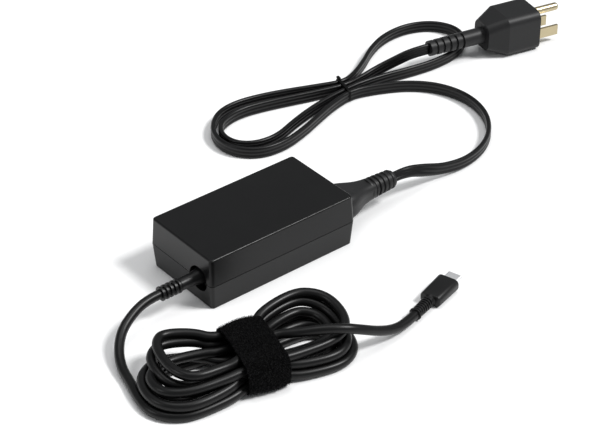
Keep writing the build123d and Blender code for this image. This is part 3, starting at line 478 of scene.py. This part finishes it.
inner_turn_points = [
    (123.0, 86.6), (107.0, 84.0), (91.0, 79.6), (74.4, 73.6), (61.4, 74.6), (53.2, 80.4),
    (50.6, 89.0), (52.8, 97.6), (59.2, 105.0), (74.5, 108.6), (92.5, 104.8), (109.0, 99.6), (124.0, 95.0),
]
mains_tail_points = [
    (138.6, 91.2, ON_EDGE),
    (150.5, 92.2, ON_EDGE),
    (163.0, 93.0, 4.8),
    (174.5, 89.8, 8.4),
    (184.6, 85.6, 12.5),
    (195.4, 83.2, 12.5),
]
coiled_points = [(x, y, ON_EDGE) for x, y in outer_turn_points + mains_loop_points + inner_turn_points]
mains_line = smooth_line("mains_line", mains_lead_points + coiled_points + mains_tail_points)
mains_line.data.resolution_u = 14
mains_path, mains_length = line_points(mains_line)
bpy.data.objects.remove(mains_line)
print(f"mains lead: {mains_length:.3f} m")


# %% Jacket of the mains lead
def three_core_outline(sides):
    """Points round the jacket's section: three ridges, with grooves between them."""
    ridge = MAINS_THICKNESS / 2
    spacing = MAINS_WIDTH / 2 - ridge
    points = []
    for side in range(sides):
        angle = 2 * math.pi * side / sides
        wide = MAINS_WIDTH / 2 * math.cos(angle)
        nearest = min((wide - centre for centre in (-spacing, 0, spacing)), key=abs)
        thick = math.sqrt(max(0.0, ridge**2 - nearest**2))
        if abs(wide) < spacing:
            thick = max(thick, ridge * WEB_SHARE)
        points.append((wide, math.copysign(thick, math.sin(angle))))
    return points


def swept_flat_cord(name, path, outline, twist_length):
    """A tube of this outline along the path: flat at first, and on edge after twist_length."""
    mesh = bmesh.new()
    rings = []
    travelled = 0.0
    for index, point in enumerate(path):
        before = path[max(index - 1, 0)]
        after = path[min(index + 1, len(path) - 1)]
        travelled += (point - before).length
        ahead = (after - before).normalized()
        level = ahead.cross(Vector((0, 0, 1))).normalized()
        upright = level.cross(ahead)
        turned = min(1.0, travelled / twist_length)
        angle = math.pi / 2 * turned * turned * (3 - 2 * turned)
        wide = level * math.cos(angle) - upright * math.sin(angle)
        thick = ahead.cross(wide)
        rings.append([mesh.verts.new(point + wide * w + thick * t) for w, t in outline])
    sides = len(outline)
    for ring, following in zip(rings, rings[1:]):
        for side in range(sides):
            other = (side + 1) % sides
            mesh.faces.new((ring[side], ring[other], following[other], following[side]))
    mesh.faces.new(rings[0])
    mesh.faces.new(rings[-1])
    bmesh.ops.recalc_face_normals(mesh, faces=mesh.faces)
    data = bpy.data.meshes.new(name)
    mesh.to_mesh(data)
    mesh.free()
    data.shade_smooth()
    tube = bpy.data.objects.new(name, data)
    bpy.context.scene.collection.objects.link(tube)
    return tube


mains_cord = swept_flat_cord("mains_cord", mains_path, three_core_outline(48), MAINS_TWIST)
mains_cord.data.materials.append(
    finish("mains_jacket", (0.004, 0.004, 0.0042), 0.34, grain=0.35, depth=0.012, wear=0.04, dust=0.02,
           specular=0.24)
)
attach(mains_cord, "mains_lead")
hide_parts("mains_cord_lead", "mains_cord_coil", "mains_cord_loop", "mains_cord_tail")
print("mains jacket:", len(mains_cord.data.polygons), "faces")

# %% [markdown]
# ## Strap: a band of hook-and-loop tape
# The strap is a wide textile band, soft and fuzzy all over, pulled tight round thirteen passes of
# cord. A block is given the band's outer size, its two open ends are removed and its long edges
# are rounded. Then its points are moved: two gentle waves make it bulge over the cords beneath, its
# rims are drawn in, and its rings are slid along, because a hand-wrapped band leans a little.
# Solidify gives the tape its thickness at the end.

# %% Helpers for modelling in edit mode
def select_faces(piece, wanted):
    """In edit mode, selects only the faces whose middle and normal satisfy the test."""
    bpy.ops.mesh.select_mode(type="FACE")
    bpy.ops.mesh.select_all(action="DESELECT")
    mesh = bmesh.from_edit_mesh(piece.data)
    for face in mesh.faces:
        face.select = wanted(face.calc_center_median(), face.normal)
    bmesh.update_edit_mesh(piece.data)


def select_edges(piece, wanted):
    """In edit mode, selects only the edges whose two ends satisfy the test."""
    bpy.ops.mesh.select_mode(type="EDGE")
    bpy.ops.mesh.select_all(action="DESELECT")
    mesh = bmesh.from_edit_mesh(piece.data)
    for edge in mesh.edges:
        edge.select = wanted(edge.verts[0].co, edge.verts[1].co)
    bmesh.update_edit_mesh(piece.data)


def start_block(name, size, middle=(0, 0, 0)):
    """A block of this size, in mm, open in edit mode and with its scale applied."""
    bpy.ops.object.select_all(action="DESELECT")
    bpy.ops.mesh.primitive_cube_add(size=1.0, location=Vector(middle) * MM)
    block = bpy.context.object
    block.name = name
    block.data.name = name
    block.scale = Vector(size) * MM
    bpy.ops.object.transform_apply(location=True, rotation=True, scale=True)
    bpy.ops.object.mode_set(mode="EDIT")
    return block


def apply_modifier(piece, kind, **values):
    """Adds one modifier with these values and applies it."""
    modifier = piece.modifiers.new(kind.lower(), kind)
    for label, value in values.items():
        setattr(modifier, label, value)
    bpy.context.view_layer.objects.active = piece
    bpy.ops.object.modifier_apply(modifier=modifier.name)


def settle(piece, place, turn):
    """Turns a finished piece, moves it to its place and applies both to its mesh."""
    piece.location = Vector(place) * MM
    piece.rotation_euler = turn
    bpy.ops.object.select_all(action="DESELECT")
    piece.select_set(True)
    bpy.context.view_layer.objects.active = piece
    bpy.ops.object.transform_apply(location=True, rotation=True, scale=True)
    bpy.ops.object.select_all(action="DESELECT")


# %% Strap
STRAP_OUTSIDE = (21.6, 42.4, 18.6)
STRAP_THICKNESS = 1.4
STRAP_MIDDLE = (1.9, 1.5, 9.3)
STRAP_ROUNDING = 6.4
STRAP_LEAN = 0.055
STRAP_LOWEST = 0.3

strap = start_block("hook_and_loop_band", STRAP_OUTSIDE, STRAP_MIDDLE)
select_faces(strap, lambda middle, normal: abs(normal.x) > 0.9)
bpy.ops.mesh.delete(type="ONLY_FACE")
select_edges(strap, lambda a, b: abs((a - b).x) > 10 * MM)
bpy.ops.mesh.bevel(offset=STRAP_ROUNDING * MM, segments=7, affect="EDGES")
bpy.ops.mesh.select_all(action="SELECT")
bpy.ops.mesh.subdivide(number_cuts=7)
bpy.ops.object.mode_set(mode="OBJECT")
for vertex in strap.data.vertices:
    along, across, height = vertex.co / MM
    along += STRAP_LEAN * across + 0.5 * math.sin(across / 9.0 + 0.6)
    bulge = 0.35 * math.sin(across / 2.6 + along / 9.0) + 0.25 * math.sin(along / 4.1)
    narrowing = -0.045 * (abs(along - STRAP_MIDDLE[0]) / 10.0) ** 2
    out = Vector((0, across - STRAP_MIDDLE[1], height - STRAP_MIDDLE[2]))
    moved = Vector((along, across, height)) + out * narrowing + out.normalized() * (bulge - 0.3)
    moved.z = max(moved.z, STRAP_LOWEST)
    vertex.co = moved * MM
apply_modifier(strap, "SOLIDIFY", thickness=STRAP_THICKNESS * MM, offset=-1.0)
apply_modifier(strap, "BEVEL", width=0.35 * MM, segments=2, limit_method="ANGLE")
apply_modifier(strap, "SUBSURF", levels=1, render_levels=1)
strap.data.shade_smooth()
settle(strap, HANK_MIDDLE, HANK_TURN.to_euler())
print("strap:", len(strap.data.polygons), "faces")

# %% [markdown]
# The pile is what makes the tape look like tape: thousands of tiny bent loops that catch the light
# and blur its outline. A single fibre is three thin sides with one bend. It is repeated over the
# outside of the band at seeded random places, leaning at random, and all of them are one mesh. The
# fibres are the band's own textile, but their colour is ten times lighter than the band's: a
# painted highlight for the light they catch.

# %% Pile of the strap
PILE_COUNT = 6000
PILE_LENGTH = 1.05
PILE_RADIUS = 0.075

dice = random.Random(11)


def fibre(mesh, root, direction, lean):
    """One bent fibre from its root: three sides and one bend."""
    across = direction.orthogonal().normalized()
    other = direction.cross(across)
    knee = root + direction * 0.6
    tip = knee + (direction * 0.35 + lean * 0.55)
    rings = []
    for middle, radius in ((root, PILE_RADIUS), (knee, PILE_RADIUS * 0.8), (tip, PILE_RADIUS * 0.3)):
        ring = []
        for corner in range(3):
            angle = 2 * math.pi * corner / 3
            offset = (across * math.cos(angle) + other * math.sin(angle)) * radius
            corner_point = middle + offset
            corner_point.z = max(corner_point.z, 0.05)
            ring.append(mesh.verts.new(corner_point * MM))
        rings.append(ring)
    for low, high in zip(rings, rings[1:]):
        for corner in range(3):
            following = (corner + 1) % 3
            mesh.faces.new((low[corner], low[following], high[following], high[corner]))
    mesh.faces.new(rings[-1])
    mesh.faces.new(reversed(rings[0]))


centre = hank_point(*STRAP_MIDDLE)
axis_along = HANK_TURN @ Vector((1, 0, 0))
outside = []
for face in strap.data.polygons:
    radial = face.center / MM - centre
    radial -= axis_along * radial.dot(axis_along)
    if face.normal.dot(radial.normalized()) > 0.3 and face.center.z > 0.8 * MM:
        outside.append(face)
areas = [face.area for face in outside]
pile_mesh = bmesh.new()
for face in dice.choices(outside, weights=areas, k=PILE_COUNT):
    corners = [strap.data.vertices[index].co / MM for index in face.vertices]
    near_side = corners[0].lerp(corners[1], dice.random())
    far_side = corners[-1].lerp(corners[-2], dice.random())
    root = near_side.lerp(far_side, dice.random())
    scatter = Vector((dice.uniform(-1, 1), dice.uniform(-1, 1), dice.uniform(-1, 1)))
    direction = (Vector(face.normal) + scatter * 0.7).normalized()
    fibre(pile_mesh, root, direction * PILE_LENGTH * dice.uniform(0.3, 1.0), scatter * 0.7)
pile_data = bpy.data.meshes.new("strap_pile")
pile_mesh.to_mesh(pile_data)
pile_mesh.free()
pile = bpy.data.objects.new("strap_pile", pile_data)
bpy.context.scene.collection.objects.link(pile)

tape = finish("looped_tape", (0.0012, 0.0012, 0.0013), 0.95, grain=0.45, depth=0.3, mottle=0.6, wear=0.0,
              dust=0.02, specular=0.04)
# painted highlight: the fibres' finish is ten times lighter than the band's, standing in for the light they
# catch
painted_highlight_loops = finish("tape_loops_painted_highlight", (0.012, 0.012, 0.0125), 0.7, grain=0.45, depth=0.05, mottle=0.8, wear=0.0,
               dust=0.05, specular=0.15)
for piece, material in ((strap, tape), (pile, painted_highlight_loops)):
    piece.data.materials.append(material)
    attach(piece, "adapter")
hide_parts("hook_and_loop_strap")
print("pile:", PILE_COUNT, "fibres,", len(pile_data.polygons), "faces")

# %% [markdown]
# ## Strain relief: one moulded sleeve with five ribs
# The sleeve is turned in one go: a circle is extruded from station to station and scaled to each
# radius. Its flange sits behind the case's wall and its collar fills the scoop. Narrow ribs with
# deep gaps let the sleeve bend evenly, and each rib has a small chamfer on both shoulders.

# %% Strain relief of the low-voltage cord
RELIEF_START = 39.0
RELIEF_AXIS = (-RELIEF_START, -12.9, 14.0)
RIB_STARTS = (56.8, 59.3, 61.8, 64.3, 66.8)
RIB_WIDTH = 1.2


def turned_piece(name, stations):
    """A solid of revolution along +Z through (distance, radius) stations, in mm."""
    start, radius = stations[0]
    bpy.ops.mesh.primitive_circle_add(vertices=48, radius=radius * MM, fill_type="NGON")
    piece = bpy.context.object
    piece.name = name
    piece.data.name = name
    bpy.ops.object.mode_set(mode="EDIT")
    bpy.ops.mesh.select_all(action="SELECT")
    for (before, narrow), (after, wide) in zip(stations, stations[1:]):
        step = (0, 0, (after - before) * MM)
        bpy.ops.mesh.extrude_region_move(TRANSFORM_OT_translate={"value": step})
        ratio = wide / narrow
        middle = (0, 0, (after - start) * MM)
        bpy.ops.transform.resize(value=(ratio, ratio, 1), center_override=middle)
    bpy.ops.mesh.select_all(action="SELECT")
    bpy.ops.mesh.normals_make_consistent(inside=False)
    bpy.ops.object.mode_set(mode="OBJECT")
    bpy.ops.object.shade_smooth_by_angle(angle=math.radians(28))
    return piece


relief_stations = [(39.0, 4.9), (40.4, 4.9), (40.41, 2.8), (42.05, 2.8), (42.06, 4.2), (42.3, 4.4),
                   (43.8, 4.4), (44.3, 4.2), (46.6, 3.8), (48.6, 3.4), (56.3, 3.25)]
for rib in RIB_STARTS:
    relief_stations += [(rib, 2.6), (rib + 0.01, 3.55), (rib + 0.2, 3.8), (rib + RIB_WIDTH - 0.2, 3.8),
                        (rib + RIB_WIDTH - 0.01, 3.55), (rib + RIB_WIDTH, 2.6)]
outlet_relief = turned_piece("outlet_relief", relief_stations)
settle(outlet_relief, RELIEF_AXIS, (0, math.radians(-90), 0))
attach(outlet_relief, "adapter")
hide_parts("dc_strain_relief")
print("strain relief:", len(outlet_relief.data.polygons), "faces")

# %% [markdown]
# ## Connector sleeve: six bold ribs behind the mains connector
# The same turning makes the flexible sleeve behind the mains connector. Its ribs get smaller
# towards the cord, so that the bend starts gently, and the dark gaps between them are what the eye
# reads first. It slides out of the inlet with the connector, so it rides with the mains lead.

# %% Ribbed sleeve of the mains connector
SLEEVE_START = 69.0
SLEEVE_PITCH = 2.95
SLEEVE_CORE = 4.75
SLEEVE_RIBS = (5.9, 5.8, 5.7, 5.55, 5.4, 5.25)

sleeve_stations = [(0.0, SLEEVE_CORE)]
for index, radius in enumerate(SLEEVE_RIBS):
    rib = 0.2 + index * SLEEVE_PITCH
    sleeve_stations += [(rib, SLEEVE_CORE), (rib + 0.05, radius - 0.3), (rib + 0.35, radius),
                        (rib + 1.15, radius), (rib + 1.45, radius - 0.3), (rib + 1.5, SLEEVE_CORE)]
sleeve_stations.append((17.6, 4.4))
connector_sleeve = turned_piece("connector_sleeve", sleeve_stations)
settle(connector_sleeve, (SLEEVE_START, -7.5, 14.0), (0, math.radians(90), 0))
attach(connector_sleeve, "mains_lead")
print("connector sleeve:", len(connector_sleeve.data.polygons), "faces")

# %% [markdown]
# ## Cord tie: a thin band with a twisted end
# The coil is held by one thin tie. It is made like the strap, from a block without its ends, but
# narrower and tighter, so that it presses into the cords. Its twisted end is a second small block
# with a rounded outline, stretched to a lug, and both are joined into one piece.

# %% Cord tie
TIE_OUTSIDE = (1.7, 17.4, 7.7)
TIE_THICKNESS = 0.8
TIE_PLACE = (136.0, 90.0, 0.0)
TIE_TURN = math.radians(-15)
LUG_SIZE = (1.9, 3.2, 1.3)
LUG_MIDDLE = (0.2, 7.2, 7.9)

cord_tie = start_block("twisted_tie", TIE_OUTSIDE, (0, 0, TIE_OUTSIDE[2] / 2))
select_faces(cord_tie, lambda middle, normal: abs(normal.x) > 0.9)
bpy.ops.mesh.delete(type="ONLY_FACE")
select_edges(cord_tie, lambda a, b: abs((a - b).x) > 1 * MM)
bpy.ops.mesh.bevel(offset=2.0 * MM, segments=6, affect="EDGES")
bpy.ops.object.mode_set(mode="OBJECT")
apply_modifier(cord_tie, "SOLIDIFY", thickness=TIE_THICKNESS * MM, offset=-1.0)
apply_modifier(cord_tie, "BEVEL", width=0.2 * MM, segments=2, limit_method="ANGLE")
tie_lug = start_block("tie_lug", LUG_SIZE, LUG_MIDDLE)
bpy.ops.mesh.select_all(action="SELECT")
bpy.ops.mesh.bevel(offset=0.45 * MM, segments=3, affect="EDGES")
bpy.ops.object.mode_set(mode="OBJECT")
bpy.ops.object.select_all(action="DESELECT")
tie_lug.select_set(True)
cord_tie.select_set(True)
bpy.context.view_layer.objects.active = cord_tie
bpy.ops.object.join()
bpy.ops.object.shade_smooth_by_angle(angle=math.radians(35))
settle(cord_tie, TIE_PLACE, (0, 0, TIE_TURN))
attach(cord_tie, "mains_lead")
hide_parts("cord_tie")
print("cord tie:", len(cord_tie.data.polygons), "faces")

# %% [markdown]
# ## Plug of the low-voltage cord: a rounded grip and a short ribbed sleeve
# The grip starts as a block. Its four long edges are rounded, its rear end is drawn in a little and
# its end edges get a small radius. The sleeve is turned like the other two: eight thin ribs grow
# towards the grip, and a plain ring closes it where the cord enters.

# %% Grip and sleeve of the small plug
PLUG_SIZE = (18.0, 12.3, 6.8)
PLUG_ROUNDING = 2.7
PLUG_REAR = (1, 0.92, 0.94)
PLUG_TURN = math.atan2(2.3, 7.6)
PLUG_RELIEF = 14.4
PLUG_CORE = 2.56
PLUG_RIB_PITCH = 1.62
PLUG_RIBS = (3.34, 2.95, 3.0, 3.05, 3.1, 3.15, 3.2, 3.25)

cord_end = Vector(dc_tail_points[-1])
plug_ahead = Vector((math.cos(PLUG_TURN), math.sin(PLUG_TURN), 0))
plug_back = cord_end + plug_ahead * PLUG_RELIEF

plug_grip = start_block("usb_grip", PLUG_SIZE, (PLUG_SIZE[0] / 2, 0, 0))
select_edges(plug_grip, lambda a, b: abs((a - b).x) > 10 * MM)
bpy.ops.mesh.bevel(offset=PLUG_ROUNDING * MM, segments=8, affect="EDGES")
select_faces(plug_grip, lambda middle, normal: normal.x < -0.9)
bpy.ops.transform.resize(value=PLUG_REAR, center_override=(0, 0, 0))
select_faces(plug_grip, lambda middle, normal: abs(normal.x) > 0.9)
bpy.ops.mesh.region_to_loop()
bpy.ops.mesh.bevel(offset=0.6 * MM, segments=3, affect="EDGES")
bpy.ops.object.mode_set(mode="OBJECT")
bpy.ops.object.shade_smooth_by_angle(angle=math.radians(35))
settle(plug_grip, plug_back, (0, 0, PLUG_TURN))
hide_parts("usb_plug_grip")

plug_stations = [(0.0, PLUG_CORE)]
for index, radius in enumerate(PLUG_RIBS):
    rib = 0.2 + index * PLUG_RIB_PITCH
    plug_stations += [(rib, PLUG_CORE), (rib + 0.05, radius - 0.15), (rib + 0.2, radius),
                      (rib + 0.75, radius), (rib + 0.9, radius - 0.15), (rib + 0.95, PLUG_CORE)]
plug_stations += [(13.6, PLUG_CORE), (PLUG_RELIEF + 0.5, 3.3)]
plug_sleeve = turned_piece("usb_sleeve", plug_stations)
settle(plug_sleeve, cord_end, (0, math.radians(90), PLUG_TURN))
for piece in (plug_grip, plug_sleeve):
    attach(piece, "adapter")
print("small plug:", len(plug_grip.data.polygons) + len(plug_sleeve.data.polygons), "faces")

# %% [markdown]
# ## Finishes of the rigid parts
# The rigid parts keep the shapes that they were machined or moulded to, so only their finishes are
# made here. The record groups them by material slot, and each slot gets one finish. The recipe's
# numbers say what it is: a spark-eroded mould leaves a fine grain on the case, tinned steel has
# next to none, and sintered ferrite is coarse and dull.

# %% Finishes by material slot
SLOT_FINISHES = {
    "case_plastic": dict(colour=(0.0045, 0.0045, 0.0047), roughness=0.3, grain=0.28, depth=0.009, wear=0.02,
                         mottle=0.15, dust=0.01, specular=0.26),
    "label_film": dict(colour=(0.03, 0.03, 0.031), roughness=0.5, grain=0.8, depth=0.004),
    "boot_plastic": dict(colour=(0.005, 0.005, 0.0052), roughness=0.38, grain=0.4, depth=0.012, wear=0.03,
                         dust=0.02, specular=0.3),
    "connector_plastic": dict(colour=(0.012, 0.012, 0.0125), roughness=0.46, grain=0.3, depth=0.014,
                              wear=0.03, mottle=0.15, dust=0.03, specular=0.3),
    "inlet_plastic": dict(colour=(0.012, 0.012, 0.012), roughness=0.45, grain=0.3, depth=0.01),
    "tie_plastic": dict(colour=(0.0012, 0.0012, 0.0012), roughness=0.5, grain=0.6, depth=0.006, wear=0.03,
                        dust=0.0, specular=0.12),
    "plated_steel": dict(colour=(0.92, 0.92, 0.93), roughness=0.46, grain=0.12, depth=0.003, metallic=1.0,
                         mottle=0.08, wear=0.05, dust=0.0),
    "contact_gold": dict(colour=(0.9, 0.62, 0.2), roughness=0.24, grain=0.1, depth=0.002, metallic=1.0),
    "blade_brass": dict(colour=(0.5, 0.43, 0.28), roughness=0.32, grain=0.15, depth=0.004, metallic=1.0,
                        mottle=0.12, wear=0.15, dust=0.0),
    "circuit_board": dict(colour=(0.012, 0.1, 0.035), roughness=0.3, grain=0.6, depth=0.01, coat=0.3),
    "black_component": dict(colour=(0.02, 0.02, 0.02), roughness=0.55, grain=0.2, depth=0.01),
    "film_yellow": dict(colour=(0.7, 0.5, 0.05), roughness=0.35, grain=0.9, depth=0.006),
    "disc_blue": dict(colour=(0.03, 0.12, 0.45), roughness=0.3, grain=1.2, depth=0.02),
    "disc_green": dict(colour=(0.03, 0.18, 0.09), roughness=0.32, grain=1.2, depth=0.02),
    "capacitor_can": dict(colour=(0.7, 0.7, 0.72), roughness=0.3, grain=0.2, depth=0.003, metallic=1.0),
    "capacitor_sleeve": dict(colour=(0.015, 0.015, 0.03), roughness=0.28, grain=1.5, depth=0.008, coat=0.3),
    "ferrite": dict(colour=(0.05, 0.05, 0.055), roughness=0.7, grain=0.15, depth=0.02),
    "copper_winding": dict(colour=(0.62, 0.24, 0.08), roughness=0.3, grain=0.4, depth=0.05, metallic=0.9),
    "bobbin_plastic": dict(colour=(0.08, 0.03, 0.012), roughness=0.4, grain=0.4, depth=0.01),
    "heat_plate": dict(colour=(0.75, 0.75, 0.76), roughness=0.33, grain=0.25, depth=0.006, metallic=1.0),
    "insulating_film": dict(colour=(0.7, 0.68, 0.6), roughness=0.4, grain=1.0, depth=0.006),
    "thermal_pad_grey": dict(colour=(0.3, 0.33, 0.37), roughness=0.75, grain=0.5, depth=0.03),
}
slot_materials = {name: finish(name + "_finish", **values) for name, values in SLOT_FINISHES.items()}
for part in frame["record"]["subparts"]:
    material = slot_materials.get(part["material_slot"])
    node = frame["nodes"][part["node"]]
    if material:
        node.data.materials.clear()
        node.data.materials.append(material)
outlet_relief.data.materials.append(slot_materials["boot_plastic"])
connector_sleeve.data.materials.append(slot_materials["connector_plastic"])
cord_tie.data.materials.append(slot_materials["tie_plastic"])
for piece in (plug_grip, plug_sleeve):
    piece.data.materials.append(slot_materials["boot_plastic"])
print("finishes:", len(slot_materials), "slots")
